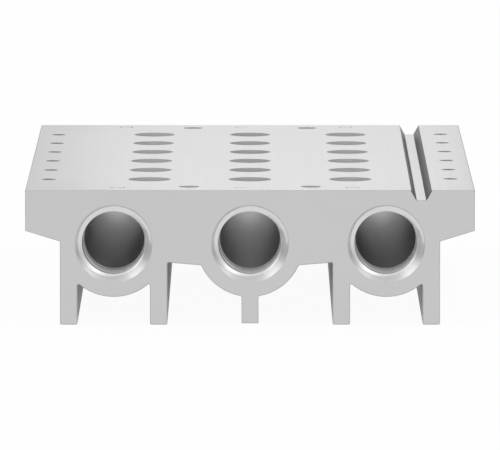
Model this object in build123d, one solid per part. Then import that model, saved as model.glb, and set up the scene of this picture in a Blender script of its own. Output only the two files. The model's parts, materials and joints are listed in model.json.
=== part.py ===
from build123d import *
import os
from math import radians, sqrt, tan

# A gallery manifold block: one aluminium extrusion, sawn to length, bored from end to end
# and drilled from above. All sizes are in millimetres.
# X runs across the rail, Y along its galleries and Z up. The origin is the middle of the footprint.

# ---- Extruded section -------------------------------------------------------------------
WIDTH = 130.5                # across both flanges
HEIGHT = 39.3                # feet to valve seat
GALLERY_SPACING = 39.6       # between neighbouring gallery axes
GALLERY_DEPTH = 15.7         # valve seat down to the gallery axes
LOBE_R = 15.5                # round lobe of metal about each gallery
LEG_THICKNESS = 5.05         # each of the four legs
LEG_OFFSET = 10.55           # outer gallery axis to the near face of either of its legs
FLANGE_EDGE = 11.9           # flange thickness at its outer edge
FLANGE_ROOT = 15.0           # flange thickness where it meets the outer leg
WEB_THICKNESS = 21.15        # deck beside an inner leg
WEB_SLOPE = 4.7              # degrees, the web's underside falls towards the middle
RIB_THICKNESS = 4.9          # rib under the middle gallery
RIB_RELIEF = 0.4             # the rib stops this far above the feet
SEAT_EDGE_R = 0.3            # rounding along the two top edges
ROOT_R = 0.4                 # rounding in the inside corners
FOOT_R = 0.45                # rounding at the feet

# ---- Groove along the seat --------------------------------------------------------------
GROOVE_X = 49.75             # groove centre, right of the middle
GROOVE_MOUTH = 6.0           # width at the seat
GROOVE_FLOOR = 2.7           # width at its floor
GROOVE_DEPTH = 2.9

# ---- Length -----------------------------------------------------------------------------
STATIONS = 6                 # valves side by side on the seat
STATION_PITCH = 27.5         # from one valve to the next
END_MARGIN = 31.5            # outermost station to either end face
END_BREAK = 0.2              # small chamfer round both end faces

# ---- Galleries, with a port thread at each end ------------------------------------------
GALLERY_R = 8.8              # bore that runs from end to end
PORT_R = 9.1                 # wider hole for the port thread
PORT_DEPTH = 16.0            # end face to the step
PORT_MOUTH_R = 11.3          # mouth of the 45 degree lead-in

# ---- Valve stations ---------------------------------------------------------------------
PASSAGE_R = 6.2              # drilled passage from the seat into a gallery
PASSAGE_INSET = 10.1         # outer passages, this far inside the outer gallery axes
PASSAGE_DEPTH = 14.0         # full-diameter depth, before the drill's point
SCREW_R = 1.95               # valve screw hole
SCREW_OFFSET = 59.0          # screw holes, from the middle
SCREW_DEPTH = 9.0            # full-diameter depth, before the drill's point
SCREW_STAGGER = 1.4          # the right-hand row sits this far towards the back
POINT_ANGLE = 118.0          # degrees, included angle of a drill's point

# ---- Fixing holes, through the web ------------------------------------------------------
FIXING_R = 3.0
FIXING_OFFSET = 17.75        # from the middle
FIXING_MARGIN = 10.0         # from the near end face

# ---- Worked out from the above ----------------------------------------------------------
LENGTH = (STATIONS - 1) * STATION_PITCH + 2 * END_MARGIN
GALLERY_Z = HEIGHT - GALLERY_DEPTH
PASSAGE_OFFSET = GALLERY_SPACING - PASSAGE_INSET
LEG_NEAR = GALLERY_SPACING - LEG_OFFSET          # faces of the inner and outer leg that
LEG_FAR = GALLERY_SPACING + LEG_OFFSET           # look at each other across the lobe
INNER_FACE = LEG_NEAR - LEG_THICKNESS
OUTER_FACE = LEG_FAR + LEG_THICKNESS
WEB_Z = HEIGHT - WEB_THICKNESS
WEB_FALL = tan(radians(WEB_SLOPE))


def lobe_z(x):
    """Height of a lobe's lower side at a distance x from its gallery's axis."""
    return GALLERY_Z - sqrt(LOBE_R ** 2 - x ** 2)


def web_meets_lobe():
    """Point where the web's sloping underside runs into the middle lobe."""
    drop = GALLERY_Z - (WEB_Z - INNER_FACE * WEB_FALL)
    a = 1 + WEB_FALL ** 2
    b = -2 * drop * WEB_FALL
    c = drop ** 2 - LOBE_R ** 2
    x = (-b + sqrt(b ** 2 - 4 * a * c)) / (2 * a)
    return x, lobe_z(x)


def half_outline():
    """Right half of the section's outline, from the rib round to the middle of the seat."""
    rib_side = RIB_THICKNESS / 2
    rib_root = (rib_side, lobe_z(rib_side))
    web_end = web_meets_lobe()
    lobe_middle = (rib_side + web_end[0]) / 2
    near_root = (LEG_NEAR, lobe_z(LEG_OFFSET))
    far_root = (LEG_FAR, lobe_z(LEG_OFFSET))
    outline = Polyline((0, RIB_RELIEF), (rib_side, RIB_RELIEF), rib_root)
    outline += ThreePointArc(rib_root, (lobe_middle, lobe_z(lobe_middle)), web_end)
    outline += Polyline(web_end, (INNER_FACE, WEB_Z), (INNER_FACE, 0), (LEG_NEAR, 0), near_root)
    outline += ThreePointArc(near_root, (GALLERY_SPACING, lobe_z(0)), far_root)
    outline += Polyline(
        far_root,
        (LEG_FAR, 0),
        (OUTER_FACE, 0),
        (OUTER_FACE, HEIGHT - FLANGE_ROOT),
        (WIDTH / 2, HEIGHT - FLANGE_EDGE),
        (WIDTH / 2, HEIGHT),
        (0, HEIGHT),
    )
    return outline


def round_corners(face, radius, points):
    """Round the face's corners at the given points, and at their mirror images."""
    both_sides = [Vector(side * x, z) for x, z in points for side in (-1, 1)]
    corners = [face.vertices().sort_by_distance(point)[0] for point in both_sides]
    return fillet(corners, radius)


def section():
    """The extrusion's section: flanges, legs, lobes, rib, web and groove."""
    half = half_outline()
    face = make_face(half + mirror(half, about=Plane.YZ))
    roots = [
        (OUTER_FACE, HEIGHT - FLANGE_ROOT),
        (LEG_NEAR, lobe_z(LEG_OFFSET)),
        (LEG_FAR, lobe_z(LEG_OFFSET)),
        (INNER_FACE, WEB_Z),
        web_meets_lobe(),
        (RIB_THICKNESS / 2, lobe_z(RIB_THICKNESS / 2)),
    ]
    feet = [(x, 0) for x in (INNER_FACE, LEG_NEAR, LEG_FAR, OUTER_FACE)]
    face = round_corners(face, ROOT_R, roots)
    face = round_corners(face, FOOT_R, feet)
    face = round_corners(face, SEAT_EDGE_R, [(WIDTH / 2, HEIGHT)])
    groove = Polygon(
        (GROOVE_X - GROOVE_MOUTH / 2, HEIGHT),
        (GROOVE_X - GROOVE_FLOOR / 2, HEIGHT - GROOVE_DEPTH),
        (GROOVE_X + GROOVE_FLOOR / 2, HEIGHT - GROOVE_DEPTH),
        (GROOVE_X + GROOVE_MOUTH / 2, HEIGHT),
        align=None,
    )
    return face - groove


def rail():
    """The extrusion sawn to length, with the edges of both end faces broken."""
    back_end = Plane.XZ.offset(-LENGTH / 2)
    length = extrude(back_end * section(), LENGTH)
    ends = length.faces().sort_by(Axis.Y)
    return chamfer(ends[0].edges() + ends[-1].edges(), END_BREAK)


def gallery(x):
    """Tool that bores one gallery and opens a chamfered port hole at each of its ends."""
    lead_in = PORT_MOUTH_R - PORT_R
    end = LENGTH / 2
    outline = Polyline(
        (0, 0),
        (GALLERY_R, 0),
        (GALLERY_R, end - PORT_DEPTH),
        (PORT_R, end - PORT_DEPTH),
        (PORT_R, end - lead_in),
        (PORT_MOUTH_R, end),
        (0, end),
        close=True,
    )
    tool = revolve(make_face(outline), Axis.Y)
    tool += mirror(tool, about=Plane.XZ)
    return Pos(x, 0, GALLERY_Z) * tool


def drilling(radius, depth):
    """Tool for a blind hole drilled down from the origin, with a drill's point."""
    point = radius / tan(radians(POINT_ANGLE / 2))
    outline = Polyline((0, 0), (radius, 0), (radius, -depth), (0, -depth - point), close=True)
    return revolve(Plane.XZ * make_face(outline), Axis.Z)


def on_seat(tool, x_places, y_places):
    """Copies of a tool at every crossing of the given places on the valve seat."""
    return [Pos(x, y, HEIGHT) * tool for x in x_places for y in y_places]


def manifold_block():
    """The finished block."""
    first = -(STATIONS - 1) / 2 * STATION_PITCH
    stations = [first + i * STATION_PITCH for i in range(STATIONS)]
    staggered = [y + SCREW_STAGGER for y in stations]
    passage = drilling(PASSAGE_R, PASSAGE_DEPTH)
    screw_hole = drilling(SCREW_R, SCREW_DEPTH)
    fixing = Cylinder(FIXING_R, HEIGHT, align=(Align.CENTER, Align.CENTER, Align.MAX))
    fixing_y = LENGTH / 2 - FIXING_MARGIN
    tools = [gallery(x) for x in (-GALLERY_SPACING, 0, GALLERY_SPACING)]
    tools += on_seat(passage, (-PASSAGE_OFFSET, 0, PASSAGE_OFFSET), stations)
    tools += on_seat(screw_hole, (-SCREW_OFFSET,), stations)
    tools += on_seat(screw_hole, (SCREW_OFFSET,), staggered)
    tools += on_seat(fixing, (-FIXING_OFFSET, FIXING_OFFSET), (-fixing_y, fixing_y))
    return rail() - tools


os.makedirs("parts", exist_ok=True)
export_step(manifold_block(), "parts/manifold_block.step")
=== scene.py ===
"""Looks of the gallery manifold block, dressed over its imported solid.

X runs across the rail, Y along its galleries and Z up, all in metres.
The block stands on the floor, with the middle of its footprint at the origin.
"""

import json
import logging
from dataclasses import dataclass, field
from enum import Enum
from math import cos, pi, radians, sin

import bmesh
import bpy
from mathutils import Matrix, Vector

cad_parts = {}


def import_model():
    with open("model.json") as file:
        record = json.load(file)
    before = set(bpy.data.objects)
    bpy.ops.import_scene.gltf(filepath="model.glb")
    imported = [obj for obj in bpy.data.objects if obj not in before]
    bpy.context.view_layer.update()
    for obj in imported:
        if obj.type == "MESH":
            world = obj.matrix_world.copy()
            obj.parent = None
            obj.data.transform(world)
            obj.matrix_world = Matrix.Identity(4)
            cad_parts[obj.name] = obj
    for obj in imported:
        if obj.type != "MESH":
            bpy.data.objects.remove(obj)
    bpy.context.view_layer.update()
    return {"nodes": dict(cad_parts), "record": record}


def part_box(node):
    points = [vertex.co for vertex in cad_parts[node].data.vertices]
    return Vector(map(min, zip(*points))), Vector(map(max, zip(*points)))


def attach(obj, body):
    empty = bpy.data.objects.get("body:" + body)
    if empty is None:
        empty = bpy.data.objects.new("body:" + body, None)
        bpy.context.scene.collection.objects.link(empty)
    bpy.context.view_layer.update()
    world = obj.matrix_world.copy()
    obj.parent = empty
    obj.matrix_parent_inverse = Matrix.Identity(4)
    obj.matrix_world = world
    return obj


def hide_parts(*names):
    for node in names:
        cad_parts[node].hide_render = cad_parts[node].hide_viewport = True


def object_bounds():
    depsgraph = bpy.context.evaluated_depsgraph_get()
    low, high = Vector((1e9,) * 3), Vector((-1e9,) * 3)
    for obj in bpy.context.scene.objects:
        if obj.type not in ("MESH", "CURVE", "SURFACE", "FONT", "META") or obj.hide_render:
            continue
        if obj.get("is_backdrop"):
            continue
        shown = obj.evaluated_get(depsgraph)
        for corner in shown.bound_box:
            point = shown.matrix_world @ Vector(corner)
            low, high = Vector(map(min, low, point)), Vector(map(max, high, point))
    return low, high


logging.basicConfig(level=logging.INFO, format="%(name)s: %(message)s")
log = logging.getLogger("manifold_block")

MM = 0.001
NODE = "manifold_block"
MIX_A, MIX_B, MIX_RESULT = 6, 7, 2   # the Mix node's colour sockets


class Zone(Enum):
    """The ways that the block's faces were made, each with a material of its own."""

    SKIN = 0
    SEAT = 1
    END = 2
    BORE = 3
    DRILLED = 4
    LEAD_IN = 5
    ENGRAVED = 6
    THREAD = 7
    SEAT_EDGE = 8
    GROOVE_WALL = 9


class Hand(Enum):
    """The way that a helix turns as it goes deeper, seen from the mouth of its hole."""

    RIGHT = True
    LEFT = False


# ---- Node trees -------------------------------------------------------------------------


@dataclass
class Tree:
    """A node tree under construction, with short ways to add and join its nodes."""

    nodes: bpy.types.Nodes
    links: bpy.types.NodeLinks

    def add(self, kind: str, **settings: object) -> bpy.types.Node:
        """Adds one node.

        Args:
            kind: Blender's name of the node type.
            **settings: properties of the node, set by name.

        Returns:
            The new node.
        """
        node = self.nodes.new(kind)
        for name, value in settings.items():
            setattr(node, name, value)
        return node

    def feed(self, socket: bpy.types.NodeSocket, value: object) -> None:
        """Joins an output to the socket, or sets the socket to a constant.

        Args:
            socket: the input that is fed.
            value: an output socket, or a number, vector or colour.
        """
        if isinstance(value, bpy.types.NodeSocket):
            self.links.new(value, socket)
        else:
            socket.default_value = value

    def math(self, operation: str, a: object, b: object = 0.0) -> bpy.types.NodeSocket:
        """One sum on numbers.

        Args:
            operation: Blender's name of the sum.
            a: first term, a number or an output.
            b: second term.

        Returns:
            The result's output socket.
        """
        node = self.add("ShaderNodeMath", operation=operation)
        self.feed(node.inputs[0], a)
        self.feed(node.inputs[1], b)
        return node.outputs[0]


# ---- Geometry Nodes ---------------------------------------------------------------------


@dataclass
class Recipe:
    """A Geometry Nodes tree with named inputs, which turns a seed object into a plain mesh."""

    name: str
    inputs: dict[str, str]
    tree: bpy.types.GeometryNodeTree = field(init=False)

    def __post_init__(self) -> None:
        """Starts the tree, with its inputs and its one output."""
        self.tree = bpy.data.node_groups.new(self.name, "GeometryNodeTree")
        self.tree.interface.new_socket("Geometry", in_out="INPUT", socket_type="NodeSocketGeometry")
        for name, kind in self.inputs.items():
            self.tree.interface.new_socket(name, in_out="INPUT", socket_type=f"NodeSocket{kind}")
        self.tree.interface.new_socket("Geometry", in_out="OUTPUT", socket_type="NodeSocketGeometry")
        self.work = Tree(self.tree.nodes, self.tree.links)
        self.given = self.work.add("NodeGroupInput").outputs

    def end(self, result: bpy.types.NodeSocket) -> None:
        """Realizes the instances, gives the result its material and makes it the output.

        Args:
            result: the geometry that the tree has made.
        """
        real = self.work.add("GeometryNodeRealizeInstances")
        self.work.feed(real.inputs["Geometry"], result)
        dressed = self.work.add("GeometryNodeSetMaterial")
        self.work.feed(dressed.inputs["Geometry"], real.outputs[0])
        self.work.feed(dressed.inputs["Material"], self.given["Material"])
        out = self.work.add("NodeGroupOutput")
        self.work.feed(out.inputs[0], dressed.outputs[0])

    def run(self, seed: bpy.types.Object, values: dict[str, object]) -> bpy.types.Object:
        """Runs the tree on a seed and keeps the result as the seed's own plain mesh.

        Args:
            seed: the object whose mesh the tree starts from.
            values: the tree's inputs, by name.

        Returns:
            The seed, with its new mesh and no modifier.
        """
        modifier = seed.modifiers.new(self.name, "NODES")
        modifier.node_group = self.tree
        for item in self.tree.interface.items_tree:
            if item.in_out == "INPUT" and item.name in values:
                modifier[item.identifier] = values[item.name]
        graph = bpy.context.evaluated_depsgraph_get()
        mesh = bpy.data.meshes.new_from_object(seed.evaluated_get(graph), depsgraph=graph)
        seed.modifiers.clear()
        seed.data = mesh
        return seed


def seed_object(
    name: str, points: list[Vector], edges: list[tuple[int, int]], aims: list[Vector],
) -> bpy.types.Object:
    """An object of loose points or lines for a tree to start from.

    Args:
        name: its name.
        points: its points.
        edges: pairs of points that lines join.
        aims: a rotation for each point, or none.

    Returns:
        The object.
    """
    mesh = bpy.data.meshes.new(name)
    mesh.from_pydata(points, edges, [])
    if aims:
        aim = mesh.attributes.new("aim", "FLOAT_VECTOR", "POINT")
        for index, value in enumerate(aims):
            aim.data[index].vector = value
    seed = bpy.data.objects.new(name, mesh)
    bpy.context.scene.collection.objects.link(seed)
    return seed


@dataclass(frozen=True)
class HelicalGroove:
    """A V-shaped groove that winds down the wall of a round hole, from its mouth."""

    name: str
    wall: float                    # radius of the hole, where the groove is widest
    depth: float                   # from the wall to the groove's root
    pitch: float
    turns: float
    start: float                   # below the mouth, middle of the groove where it starts
    wall_width: float
    root_width: float
    hand: Hand = Hand.RIGHT
    steps: int = 96                # sides of one turn
    run_out: float = 0.5           # turns in which the groove fades at its deep end
    clearance: float = 0.25 * MM   # how far the tool stands off the wall

    def mouth_width(self) -> float:
        """Width of the tool at its inner edge, off the wall."""
        return self.wall_width + (self.wall_width - self.root_width) * self.clearance / self.depth


@dataclass
class Tapper:
    """Makes the tools that cut helical grooves, one at each mouth that it is given."""

    least_share: float = 0.04      # of the section's full size, at the groove's very end
    recipe: Recipe = field(init=False)

    def __post_init__(self) -> None:
        """Builds the tree: a helix, swept by the groove's section and put at every mouth."""
        self.recipe = Recipe(
            "helical_groove",
            {
                "Wall radius": "Float",
                "Depth": "Float",
                "Clearance": "Float",
                "Pitch": "Float",
                "Turns": "Float",
                "Start": "Float",
                "Inner width": "Float",
                "Root width": "Float",
                "Steps": "Int",
                "Run-out": "Float",
                "Right-handed": "Bool",
                "Material": "Material",
            },
        )
        work, given = self.recipe.work, self.recipe.given
        helix = work.add("GeometryNodeCurveSpiral")
        work.feed(helix.inputs["Resolution"], given["Steps"])
        work.feed(helix.inputs["Rotations"], given["Turns"])
        work.feed(helix.inputs["Start Radius"], given["Wall radius"])
        work.feed(helix.inputs["End Radius"], given["Wall radius"])
        work.feed(helix.inputs["Height"], work.math("MULTIPLY", given["Pitch"], given["Turns"]))
        work.feed(helix.inputs["Reverse"], given["Right-handed"])
        lowered = work.add("GeometryNodeTransform")
        work.feed(lowered.inputs["Geometry"], helix.outputs[0])
        work.feed(lowered.inputs["Translation"], self.vector(0.0, 0.0, given["Start"]))
        upright = work.add("GeometryNodeSetCurveNormal", mode="Z_UP")
        work.feed(upright.inputs["Curve"], lowered.outputs[0])
        swept = work.add("GeometryNodeCurveToMesh")
        work.feed(swept.inputs["Curve"], upright.outputs[0])
        work.feed(swept.inputs["Profile Curve"], self.section())
        work.feed(swept.inputs["Scale"], self.fade())
        work.feed(swept.inputs["Fill Caps"], True)
        placed = work.add("GeometryNodeInstanceOnPoints")
        work.feed(placed.inputs["Points"], given["Geometry"])
        work.feed(placed.inputs["Instance"], swept.outputs[0])
        aim = work.add("GeometryNodeInputNamedAttribute", data_type="FLOAT_VECTOR")
        work.feed(aim.inputs["Name"], "aim")
        work.feed(placed.inputs["Rotation"], aim.outputs["Attribute"])
        self.recipe.end(placed.outputs[0])

    def vector(self, x: object, y: object, z: object) -> bpy.types.NodeSocket:
        """Joins three numbers or outputs into a vector output."""
        node = self.recipe.work.add("ShaderNodeCombineXYZ")
        for socket, value in zip(node.inputs, (x, y, z)):
            self.recipe.work.feed(socket, value)
        return node.outputs[0]

    def section(self) -> bpy.types.NodeSocket:
        """The groove's section, wide off the wall and narrow at the root.

        Returns:
            The output of the closed curve, with its depth along X.
        """
        work, given = self.recipe.work, self.recipe.given
        outward = work.math("SUBTRACT", work.math("MULTIPLY", given["Right-handed"], 2.0), 1.0)
        inner = work.math("MULTIPLY", work.math("MULTIPLY", given["Clearance"], -1.0), outward)
        root = work.math("MULTIPLY", given["Depth"], outward)
        half_inner = work.math("MULTIPLY", given["Inner width"], 0.5)
        half_root = work.math("MULTIPLY", given["Root width"], 0.5)
        far_inner = work.math("MULTIPLY", half_inner, -1.0)
        far_root = work.math("MULTIPLY", half_root, -1.0)
        section = work.add("GeometryNodeCurvePrimitiveQuadrilateral", mode="POINTS")
        work.feed(section.inputs["Point 1"], self.vector(inner, half_inner, 0.0))
        work.feed(section.inputs["Point 2"], self.vector(root, half_root, 0.0))
        work.feed(section.inputs["Point 3"], self.vector(root, far_root, 0.0))
        work.feed(section.inputs["Point 4"], self.vector(inner, far_inner, 0.0))
        return section.outputs[0]

    def fade(self) -> bpy.types.NodeSocket:
        """Share of its full size that the section has, small at the deep end."""
        work, given = self.recipe.work, self.recipe.given
        along = work.add("GeometryNodeSplineParameter").outputs["Factor"]
        left = work.math("MULTIPLY", work.math("SUBTRACT", 1.0, along), given["Turns"])
        share = work.math("DIVIDE", left, given["Run-out"])
        return work.math("MAXIMUM", work.math("MINIMUM", share, 1.0), self.least_share)

    def tools(
        self, groove: HelicalGroove, holes: list["Hole"], material: bpy.types.Material,
    ) -> bpy.types.Object:
        """Tools for one kind of groove.

        Args:
            groove: its sizes.
            holes: the holes that get it.
            material: the finish of the cut faces.

        Returns:
            One object with a tool for each hole.
        """
        mouths = [hole.mouth for hole in holes]
        seed = seed_object(groove.name, mouths, [], [hole.aim() for hole in holes])
        return self.recipe.run(seed, {
            "Wall radius": groove.wall,
            "Depth": groove.depth,
            "Clearance": groove.clearance,
            "Pitch": groove.pitch,
            "Turns": groove.turns,
            "Start": groove.start,
            "Inner width": groove.mouth_width(),
            "Root width": groove.root_width,
            "Steps": groove.steps,
            "Run-out": groove.run_out,
            "Right-handed": groove.hand.value,
            "Material": material,
        })


# ---- Engraved digits --------------------------------------------------------------------


def arc(
    x: float, y: float, radius: float, start: float, end: float, steps: int = 14,
) -> list[tuple[float, float]]:
    """Points along an arc.

    Args:
        x: its centre, across.
        y: its centre, up.
        radius: its radius.
        start: where it starts, in degrees from the right, anticlockwise.
        end: where it ends.
        steps: how many lines it has.

    Returns:
        The points, from start to end.
    """
    turn = [radians(start + (end - start) * i / steps) for i in range(steps + 1)]
    return [(x + radius * cos(a), y + radius * sin(a)) for a in turn]


class Digit(Enum):
    """The strokes of each digit, one line each, with its foot at 0 and its head at 1."""

    ONE = ((-0.16, 0.76), (0.06, 1.0), (0.06, 0.0))
    TWO = (
        *arc(0.0, 0.72, 0.28, 165, -35),
        (-0.3, 0.0),
        (0.3, 0.0),
    )
    THREE = (
        *arc(0.0, 0.75, 0.25, 160, -75),
        *arc(0.0, 0.26, 0.26, 75, -160),
    )


@dataclass(frozen=True)
class Marks:
    """Port numbers engraved in the seat at both ends, with their heads to the left."""

    digits: tuple[Digit, ...] = (Digit.TWO, Digit.ONE, Digit.THREE)
    heads: tuple[float, ...] = (-40.5 * MM, -4.8 * MM, 27.9 * MM)   # where each digit's head is
    height: float = 3.8 * MM        # between the middles of the strokes
    margin: float = 7.45 * MM       # from the end face to the middle of the digits
    stroke: float = 0.44 * MM       # width of the cutter
    sink: float = 0.19 * MM         # depth of the strokes

    def lines(self, low: Vector, high: Vector) -> tuple[list[Vector], list[tuple[int, int]]]:
        """Every stroke, at both ends of the seat.

        Args:
            low: the block's lowest corner.
            high: its highest corner.

        Returns:
            The points of all the strokes, and the pairs of points that are joined.
        """
        points, edges = [], []
        level = high.z - self.sink + self.stroke / 2
        for row in (low.y + self.margin, high.y - self.margin):
            for digit, head in zip(self.digits, self.heads):
                first = len(points)
                for across, up in digit.value:
                    place = (head + (1 - up) * self.height, row + across * self.height, level)
                    points.append(Vector(place))
                edges += [(i, i + 1) for i in range(first, len(points) - 1)]
        return points, edges


    def covers(self, place: Vector, low: Vector, high: Vector) -> bool:
        """Whether a place is where a digit is engraved.

        Args:
            place: the place that is asked about.
            low: the block's lowest corner.
            high: its highest corner.

        Returns:
            True inside the box of a digit.
        """
        rows = (low.y + self.margin, high.y - self.margin)
        reach = self.height + self.stroke
        in_row = any(abs(place.y - row) < self.height / 2 for row in rows)
        return in_row and any(-self.stroke < place.x - head < reach for head in self.heads)


@dataclass
class Engraver:
    """Makes the tools that cut engraved lines: a round cutter drawn along each stroke."""

    cutter_sides: int = 12
    recipe: Recipe = field(init=False)

    def __post_init__(self) -> None:
        """Builds the tree."""
        self.recipe = Recipe(
            "engraved_line",
            {"Cutter radius": "Float", "Step": "Float", "Material": "Material"},
        )
        work, given = self.recipe.work, self.recipe.given
        line = work.add("GeometryNodeMeshToCurve")
        work.feed(line.inputs["Mesh"], given["Geometry"])
        even = work.add("GeometryNodeResampleCurve", mode="LENGTH")
        work.feed(even.inputs["Curve"], line.outputs[0])
        work.feed(even.inputs["Length"], given["Step"])
        circle = work.add("GeometryNodeCurvePrimitiveCircle")
        work.feed(circle.inputs["Resolution"], self.cutter_sides)
        work.feed(circle.inputs["Radius"], given["Cutter radius"])
        swept = work.add("GeometryNodeCurveToMesh")
        work.feed(swept.inputs["Curve"], even.outputs[0])
        work.feed(swept.inputs["Profile Curve"], circle.outputs[0])
        work.feed(swept.inputs["Fill Caps"], True)
        self.recipe.end(swept.outputs[0])

    def tools(
        self, marks: Marks, low: Vector, high: Vector, material: bpy.types.Material,
    ) -> bpy.types.Object:
        """Tools for a set of marks.

        Args:
            marks: what is engraved.
            low: the block's lowest corner.
            high: its highest corner.
            material: the finish of the cut faces.

        Returns:
            One object with a tool for each stroke.
        """
        points, edges = marks.lines(low, high)
        seed = seed_object("engraved_marks", points, edges, [])
        return self.recipe.run(seed, {
            "Cutter radius": marks.stroke / 2,
            "Step": marks.stroke,
            "Material": material,
        })


# ---- Finishes ---------------------------------------------------------------------------


@dataclass(frozen=True)
class Aluminium:
    """Bare aluminium with fine marks of the tool or die that made the surface.

    The marks are a noise that is drawn out along the tool's path.
    """

    name: str
    tone: float = 0.56            # grey of the metal
    tone_range: float = 0.03      # how far the grey wanders
    roughness: float = 0.42
    roughness_range: float = 0.08
    marks: tuple[float, float, float] = (2600.0, 12.0, 2600.0)   # marks per metre, along each axis
    mark_depth: float = 0.004 * MM
    metal: float = 1.0            # the rest is dull oxide, which scatters the light
    gloss: float = 0.5            # of the oxide
    cloud_scale: float = 35.0     # soft patches per metre
    grain_scale: float = 5200.0   # grains per metre
    grain_share: float = 0.4      # of the marks' height

    def build(self) -> bpy.types.Material:
        """Makes the material.

        Returns:
            The material, ready to be put in a slot.
        """
        material = bpy.data.materials.new(self.name)
        material.use_nodes = True
        tree = Tree(material.node_tree.nodes, material.node_tree.links)
        shader = tree.nodes["Principled BSDF"]
        place = tree.add("ShaderNodeTexCoord").outputs["Object"]
        marks = self.noise(tree, place, self.marks, detail=3.0)
        cloud = self.noise(tree, place, (self.cloud_scale,) * 3, detail=4.0)
        grain = self.noise(tree, place, (self.grain_scale,) * 3, detail=1.0)
        shade = tree.math("ADD", tree.math("MULTIPLY", marks, 0.5), tree.math("MULTIPLY", cloud, 0.5))
        ramp = tree.add("ShaderNodeMix", data_type="RGBA")
        low, high = self.tone - self.tone_range, self.tone + self.tone_range
        tree.feed(ramp.inputs["Factor"], shade)
        tree.feed(ramp.inputs[MIX_A], (low, low, low * 1.002, 1.0))
        tree.feed(ramp.inputs[MIX_B], (high, high, high * 1.004, 1.0))
        tree.feed(shader.inputs["Base Color"], ramp.outputs[MIX_RESULT])
        spread = tree.math("MULTIPLY", tree.math("SUBTRACT", marks, 0.5), 2 * self.roughness_range)
        tree.feed(shader.inputs["Roughness"], tree.math("ADD", spread, self.roughness))
        bump = tree.add("ShaderNodeBump")
        tree.feed(bump.inputs["Strength"], 1.0)
        tree.feed(bump.inputs["Distance"], self.mark_depth)
        fine = tree.math("MULTIPLY", grain, self.grain_share)
        tree.feed(bump.inputs["Height"], tree.math("ADD", marks, fine))
        tree.feed(shader.inputs["Normal"], bump.outputs["Normal"])
        shader.inputs["Metallic"].default_value = self.metal
        shader.inputs["Specular IOR Level"].default_value = self.gloss
        return material

    @staticmethod
    def noise(
        tree: Tree, place: bpy.types.NodeSocket, scale: tuple[float, float, float], detail: float,
    ) -> bpy.types.NodeSocket:
        """Noise with a scale of its own along each axis.

        Args:
            tree: the material's tree.
            place: the coordinates that are scaled.
            scale: features per metre along X, Y and Z.
            detail: octaves of the noise.

        Returns:
            The noise, about 0 to 1.
        """
        mapping = tree.add("ShaderNodeMapping")
        tree.feed(mapping.inputs["Vector"], place)
        tree.feed(mapping.inputs["Scale"], scale)
        noise = tree.add("ShaderNodeTexNoise")
        tree.feed(noise.inputs["Vector"], mapping.outputs["Vector"])
        tree.feed(noise.inputs["Scale"], 1.0)
        tree.feed(noise.inputs["Detail"], detail)
        return noise.outputs[0]


# The groove's walls, the seat's edges and the marks are darker than bare metal: painted reflection,
# standing in for dark surroundings that the metal would mirror.
FINISHES = {
    Zone.SKIN: Aluminium(
        "extruded_skin", tone=0.49, marks=(2600.0, 10.0, 2600.0), roughness=0.50, metal=0.25, gloss=0.1,
    ),
    Zone.SEAT: Aluminium(
        "milled_seat", tone=0.58, marks=(900.0, 14.0, 900.0), roughness=0.31, roughness_range=0.05,
    ),
    Zone.END: Aluminium("sawn_end", tone=0.61, marks=(60.0, 60.0, 2200.0), roughness=0.48, metal=0.8),
    Zone.BORE: Aluminium(
        "bored_gallery", tone=0.50, marks=(400.0, 2400.0, 400.0), roughness=0.42, metal=0.75, gloss=0.1,
    ),
    Zone.DRILLED: Aluminium(
        "drilled_hole", tone=0.68, marks=(400.0, 400.0, 2400.0), mark_depth=0.001 * MM,
        roughness=0.45, metal=0.4, gloss=0.1,
    ),
    Zone.THREAD: Aluminium(
        "tapped_thread", tone=0.58, marks=(400.0, 2400.0, 400.0), roughness=0.42, metal=0.85,
    ),
    Zone.LEAD_IN: Aluminium("turned_lead_in", tone=0.74, marks=(400.0, 2400.0, 400.0), roughness=0.37),
    # Painted reflection: a darker grey in the engraved strokes, for the dark surroundings they would
    # mirror.
    Zone.ENGRAVED: Aluminium(
        "engraved_mark", tone=0.30, marks=(900.0, 900.0, 900.0), roughness=0.55, metal=0.6,
    ),
    # Painted reflection: a near-black grey on the groove's walls, for the dark surroundings they would
    # mirror.
    Zone.GROOVE_WALL: Aluminium(
        "groove_wall_painted_reflection", tone=0.10, marks=(900.0, 14.0, 900.0),
        roughness=0.38, metal=0.9, gloss=0.2,
    ),
    # Painted reflection: a dark grey on the seat's rounded edges, for the dark surroundings they would
    # mirror.
    Zone.SEAT_EDGE: Aluminium(
        "seat_edge_painted_reflection", tone=0.20, marks=(900.0, 14.0, 900.0), roughness=0.5, metal=0.5, gloss=0.1,
    ),
}


# ---- The block --------------------------------------------------------------------------


@dataclass(frozen=True)
class Hole:
    """A round hole, by the point where its axis meets the face that it opens on."""

    mouth: Vector
    facing: Vector
    radius: float

    def aim(self) -> Vector:
        """Rotation that points a tool's Z axis into the hole and keeps X where it is."""
        if self.facing.z > 0.5:
            return Vector((pi, 0.0, 0.0))
        return Vector((pi / 2 * self.facing.y, 0.0, 0.0))


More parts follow.
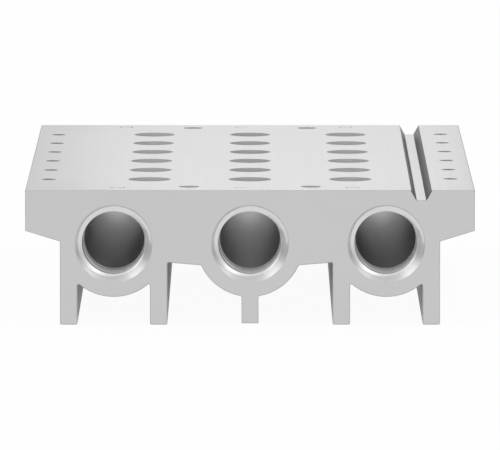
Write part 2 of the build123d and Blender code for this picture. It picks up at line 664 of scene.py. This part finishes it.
@dataclass
class Block:
    """The block itself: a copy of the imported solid, with threads and marks cut into it."""

    record: dict
    node: bpy.types.Object
    merge_distance: float = 0.002 * MM
    sharp_angle: float = radians(24)
    face_tolerance: float = 0.02 * MM
    port_mouth_radius: float = 11.3 * MM
    port_wall: float = 9.1 * MM
    thread_depth: float = 0.5 * MM
    thread_length: float = 16.01 * MM
    relief_radius: float = 9.45 * MM
    relief_depth: float = 6.0 * MM
    seat_edge: float = 0.3 * MM     # rounding along the two long edges of the seat
    groove_depth: float = 3.5 * MM  # a little more than the keying groove's
    marks: Marks = Marks()
    name: str = "dressed_block"

    def __post_init__(self) -> None:
        """Takes the block's corners and its holes from the frame."""
        self.low, self.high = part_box(NODE)
        self.ports = self.port_holes()
        self.screws = self.seat_pattern("valve_screws")
        self.seat_holes = self.seat_pattern("")
        self.lead_in_depth = 2.5 * (self.port_mouth_radius - self.port_wall)

    def port_holes(self) -> list[Hole]:
        """The threaded ports, from the record's mounts."""
        found = []
        for mount in self.record["mounts"]:
            if mount["name"].endswith("_port"):
                facing = Vector(mount["axis"])
                place = Vector(mount["pos_m"])
                place.y = self.low.y if facing.y < 0 else self.high.y
                found.append(Hole(place, facing, mount["dims"]["r_mm"] * MM))
        return found

    def seat_pattern(self, word: str) -> list[Hole]:
        """Holes in the seat, from the record's mounts, each of which is a pair or a rectangle.

        Args:
            word: what the mounts' names contain.

        Returns:
            The holes.
        """
        found = []
        for mount in self.record["mounts"]:
            if mount["kind"] == "bolt_pattern" and word in mount["name"]:
                sizes = mount["dims"]
                half_x, half_y = (sizes.get(f"spacing_{axis}_mm", 0.0) * MM / 2 for axis in "xy")
                centre = Vector(mount["pos_m"])
                corners = {(x, y) for x in (-half_x, half_x) for y in (-half_y, half_y)}
                for x, y in sorted(corners):
                    place = centre + Vector((x, y, 0.0))
                    found.append(Hole(place, Vector(mount["axis"]), sizes["hole_r_mm"] * MM))
        return found

    def grooves(self) -> list[tuple[HelicalGroove, list[Hole]]]:
        """Every kind of helical groove, with the holes that get it."""
        port_pitch = 1.814 * MM
        screw_pitch = 0.8 * MM
        ramp_pitch = 4.1 * MM
        return [
            (HelicalGroove(
                "port_entry_ramp", wall=self.port_wall, depth=1.93 * MM, pitch=ramp_pitch, turns=1.2,
                start=-0.26 * MM, wall_width=0.8 * ramp_pitch, root_width=0.25 * ramp_pitch,
                hand=Hand.LEFT, steps=128, run_out=0.12,
            ), self.ports),
            (HelicalGroove(
                "port_thread", wall=self.port_wall, depth=1.12 * MM, pitch=port_pitch, turns=5.7,
                start=5.6 * MM, wall_width=0.763 * port_pitch, root_width=0.12 * port_pitch,
                steps=64, run_out=1.0, clearance=0.33 * MM,
            ), self.ports),
            (HelicalGroove(
                "screw_thread", wall=self.screws[0].radius, depth=0.42 * MM, pitch=screw_pitch,
                turns=10.5, start=-0.2 * MM,
                wall_width=0.82 * screw_pitch, root_width=0.16 * screw_pitch,
                steps=20, run_out=1.0, clearance=0.08 * MM,
            ), self.screws),
        ]

    def relief_tools(self, material: bpy.types.Material) -> bpy.types.Object:
        """Tapered tools that thin the crests of the thread in the first few millimetres of each port.

        Args:
            material: the finish of the cut faces.

        Returns:
            One object with a tool for each port.
        """
        mesh = bpy.data.meshes.new("crest_relief")
        shell = bmesh.new()
        slope = (self.relief_radius - self.port_wall) / self.relief_depth
        overlap = 1.0 * MM
        length = self.relief_depth + 2 * overlap
        upright = Vector((0.0, 0.0, 1.0))
        for port in self.ports:
            turn = upright.rotation_difference(port.facing).to_matrix().to_4x4()
            middle = port.mouth + port.facing * (overlap - length / 2)
            bmesh.ops.create_cone(
                shell, cap_ends=True, segments=128, depth=length,
                radius1=self.port_wall - slope * overlap, radius2=self.relief_radius + slope * overlap,
                matrix=Matrix.Translation(middle) @ turn,
            )
        shell.to_mesh(mesh)
        shell.free()
        mesh.materials.append(material)
        tools = bpy.data.objects.new("crest_relief", mesh)
        bpy.context.scene.collection.objects.link(tools)
        return tools

    def merged_copy(self) -> bpy.types.Object:
        """A copy of the solid's mesh with its loose triangles joined up.

        Returns:
            The copy, as an object of its own.
        """
        mesh = bpy.data.meshes.new(self.name)
        shell = bmesh.new()
        shell.from_mesh(self.node.data)
        bmesh.ops.remove_doubles(shell, verts=shell.verts, dist=self.merge_distance)
        shell.to_mesh(mesh)
        shell.free()
        self.drop(mesh, "custom_normal")
        block = bpy.data.objects.new(self.name, mesh)
        bpy.context.scene.collection.objects.link(block)
        return block

    @staticmethod
    def drop(mesh: bpy.types.Mesh, name: str) -> None:
        """Removes an attribute that no longer fits the mesh, if it has it."""
        attribute = mesh.attributes.get(name)
        if attribute:
            mesh.attributes.remove(attribute)

    def cut(self, block: bpy.types.Object, tools: bpy.types.Object) -> None:
        """Takes the tools' volume out of the block, and removes the tools.

        Args:
            block: what is cut.
            tools: closed shapes that are taken away.
        """
        shell = bmesh.new()
        shell.from_mesh(tools.data)
        bmesh.ops.recalc_face_normals(shell, faces=shell.faces)
        shell.to_mesh(tools.data)
        shell.free()
        modifier = block.modifiers.new("cut", "BOOLEAN")
        modifier.operation = "DIFFERENCE"
        modifier.solver = "MANIFOLD"
        modifier.object = tools
        graph = bpy.context.evaluated_depsgraph_get()
        mesh = bpy.data.meshes.new_from_object(block.evaluated_get(graph), depsgraph=graph)
        block.modifiers.clear()
        self.drop(mesh, "custom_normal")
        self.drop(mesh, "aim")
        old, block.data = block.data, mesh
        bpy.data.meshes.remove(old)
        bpy.data.objects.remove(tools)

    def beside_port(self, centre: Vector) -> float:
        """Distance of a place from the nearest gallery's axis."""
        return min(((centre - port.mouth) * Vector((1, 0, 1))).length for port in self.ports)

    def in_seat_hole(self, centre: Vector) -> bool:
        """Whether a place is on the wall of a hole that opens on the seat."""
        return any(
            (centre - hole.mouth).xy.length < hole.radius + self.thread_depth
            for hole in self.seat_holes
        )

    def zone(self, centre: Vector, normal: Vector) -> Zone:
        """How the face at a place was made.

        Args:
            centre: the face's centre.
            normal: the way that it looks.

        Returns:
            The zone that the face belongs to.
        """
        inward = min(centre.y - self.low.y, self.high.y - centre.y)
        if centre.z > self.high.z - self.face_tolerance:
            return Zone.SEAT
        if inward < self.face_tolerance:
            return Zone.END
        if self.beside_port(centre) < self.port_mouth_radius:
            if inward < self.lead_in_depth:
                return Zone.LEAD_IN
            return Zone.THREAD if inward < self.thread_length else Zone.BORE
        if self.in_seat_hole(centre):
            return Zone.DRILLED
        below_seat = self.high.z - centre.z
        beside = min(centre.x - self.low.x, self.high.x - centre.x)
        if beside < self.seat_edge:
            return Zone.SEAT_EDGE if below_seat < self.seat_edge else Zone.SKIN
        if below_seat > self.groove_depth:
            return Zone.SKIN
        if self.marks.covers(centre, self.low, self.high):
            return Zone.ENGRAVED
        return Zone.GROOVE_WALL if abs(normal.x) > 0.5 else Zone.SEAT

    def build(self) -> bpy.types.Object:
        """Makes the dressed block and puts it in the node's place.

        Returns:
            The finished piece.
        """
        materials = {zone: FINISHES[zone].build() for zone in Zone}
        block = self.merged_copy()
        self.cut(block, self.relief_tools(materials[Zone.LEAD_IN]))
        tapper = Tapper()
        for groove, holes in self.grooves():
            self.cut(block, tapper.tools(groove, holes, materials[Zone.BORE]))
        self.cut(block, Engraver().tools(self.marks, self.low, self.high, materials[Zone.ENGRAVED]))
        block.data.materials.clear()
        for zone in Zone:
            block.data.materials.append(materials[zone])
        for face in block.data.polygons:
            face.material_index = self.zone(face.center, face.normal).value
            face.use_smooth = True
        block.data.set_sharp_from_angle(angle=self.sharp_angle)
        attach(block, "root")
        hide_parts(NODE)
        return block


# ---- Stage ------------------------------------------------------------------------------


@dataclass
class Studio:
    """A pale floor and soft light from all round, with three lamps."""

    floor_size: float = 8.0
    floor_tone: float = 0.86
    white_share: float = 0.95      # of the floor's look, and the rest is its shading
    sky: float = 0.9
    side_loss: float = 0.55
    side_lean: float = 0.1         # how much more is lost at the right than at the left
    back_loss: float = 0.08
    key_size: tuple[float, float] = (1.2, 1.2)
    key_place: tuple[float, float, float] = (-1.3, -0.7, 1.3)
    key_power: float = 5.0
    fill_size: tuple[float, float] = (0.8, 0.8)
    fill_place: tuple[float, float, float] = (1.1, -0.8, 1.1)
    fill_power: float = 3.0
    back_size: tuple[float, float] = (0.15, 0.12)
    back_place: tuple[float, float, float] = (0.012, 0.55, 0.2)
    back_power: float = 0.036

    def floor(self) -> None:
        """Lays the floor, which looks white and keeps the block's shadow."""
        mesh = bpy.data.meshes.new("floor")
        shell = bmesh.new()
        bmesh.ops.create_grid(shell, x_segments=1, y_segments=1, size=self.floor_size / 2)
        shell.to_mesh(mesh)
        shell.free()
        floor = bpy.data.objects.new("floor", mesh)
        bpy.context.scene.collection.objects.link(floor)
        material = bpy.data.materials.new("pale_floor")
        material.use_nodes = True
        tree = Tree(material.node_tree.nodes, material.node_tree.links)
        shader = tree.nodes["Principled BSDF"]
        shader.inputs["Base Color"].default_value = (self.floor_tone,) * 3 + (1.0,)
        shader.inputs["Roughness"].default_value = 0.9
        white = tree.add("ShaderNodeEmission")
        tree.feed(white.inputs["Strength"], 1.0)
        mix = tree.add("ShaderNodeMixShader")
        tree.feed(mix.inputs[0], tree.math("MULTIPLY", self.seen(tree), self.white_share))
        tree.feed(mix.inputs[1], shader.outputs[0])
        tree.feed(mix.inputs[2], white.outputs[0])
        tree.feed(tree.nodes["Material Output"].inputs["Surface"], mix.outputs[0])
        mesh.materials.append(material)
        floor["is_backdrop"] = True

    @staticmethod
    def seen(tree: Tree) -> bpy.types.NodeSocket:
        """1 for rays by which the eye, metal or glass sees the background, and else 0."""
        path = tree.add("ShaderNodeLightPath")
        mirror = tree.math("MAXIMUM", path.outputs["Is Glossy Ray"], path.outputs["Is Transmission Ray"])
        return tree.math("MAXIMUM", path.outputs["Is Camera Ray"], mirror)

    def world(self) -> None:
        """Soft light from all round, weaker low down at the sides and a little behind."""
        world = bpy.data.worlds.new("soft_light")
        world.use_nodes = True
        tree = Tree(world.node_tree.nodes, world.node_tree.links)
        parts = tree.add("ShaderNodeSeparateXYZ")
        tree.feed(parts.inputs[0], tree.add("ShaderNodeTexCoord").outputs["Generated"])
        squared = tree.math("MULTIPLY", parts.outputs["X"], parts.outputs["X"])
        lean = tree.math("ADD", tree.math("MULTIPLY", parts.outputs["X"], self.side_lean), 1.0)
        sideways = tree.math("MULTIPLY", squared, lean)
        low_down = tree.math("SUBTRACT", 1.0, tree.math("ABSOLUTE", parts.outputs["Z"]))
        loss = tree.math("MULTIPLY", tree.math("MULTIPLY", sideways, low_down), self.side_loss)
        background = tree.nodes["Background"]
        background.inputs["Color"].default_value = (1.0, 1.0, 1.0, 1.0)
        behind = tree.math("MAXIMUM", parts.outputs["Y"], 0.0)
        lost_behind = tree.math("MULTIPLY", tree.math("MULTIPLY", behind, low_down), self.back_loss)
        share = tree.math("SUBTRACT", tree.math("SUBTRACT", 1.0, loss), lost_behind)
        tree.feed(background.inputs["Strength"], tree.math("MULTIPLY", share, self.sky))
        bpy.context.scene.world = world

    @staticmethod
    def lamp(
        name: str, size: tuple[float, float], place: tuple[float, float, float], power: float,
    ) -> None:
        """A soft rectangular lamp that looks at the block.

        Args:
            name: its name.
            size: its width and height.
            place: where it hangs.
            power: its power in watts.
        """
        data = bpy.data.lights.new(name, "AREA")
        data.shape = "RECTANGLE"
        data.size, data.size_y = size
        data.energy = power
        lamp = bpy.data.objects.new(name, data)
        lamp.location = place
        lamp.rotation_euler = (-lamp.location).to_track_quat("-Z", "Y").to_euler()
        bpy.context.scene.collection.objects.link(lamp)

    def build(self) -> None:
        """Sets up the floor, the light and the view transform."""
        self.floor()
        self.world()
        self.lamp("key_light", self.key_size, self.key_place, self.key_power)
        self.lamp("fill_light", self.fill_size, self.fill_place, self.fill_power)
        self.lamp("back_light", self.back_size, self.back_place, self.back_power)
        bpy.context.scene.view_settings.view_transform = "Standard"


@dataclass
class View:
    """The camera, far off with a long lens, looking a little down on the block."""

    lens: float = 626.68           # mm
    sensor: float = 36.0           # mm wide
    far: float = 50.0              # how far it sees
    pitch: float = radians(6.0636)
    place: tuple[float, float, float] = (0.0, -2.61189, 0.29593)

    def build(self) -> None:
        """Makes the camera and looks through it."""
        data = bpy.data.cameras.new("camera")
        data.lens = self.lens
        data.sensor_width = self.sensor
        data.clip_end = self.far
        camera = bpy.data.objects.new("camera", data)
        camera.location = self.place
        camera.rotation_euler = (pi / 2 - self.pitch, 0.0, 0.0)
        bpy.context.scene.collection.objects.link(camera)
        bpy.context.scene.camera = camera


def corners() -> list[list[float]]:
    """The whole object's box, as plain lists of numbers."""
    return [list(corner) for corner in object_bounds()]


def main() -> None:
    """Builds the block and its stage, in order."""
    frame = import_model()
    Studio().build()
    View().build()
    block = Block(frame["record"], frame["nodes"][NODE]).build()
    log.info("%s has %d faces", block.name, len(block.data.polygons))


if __name__ == "__main__":
    main()
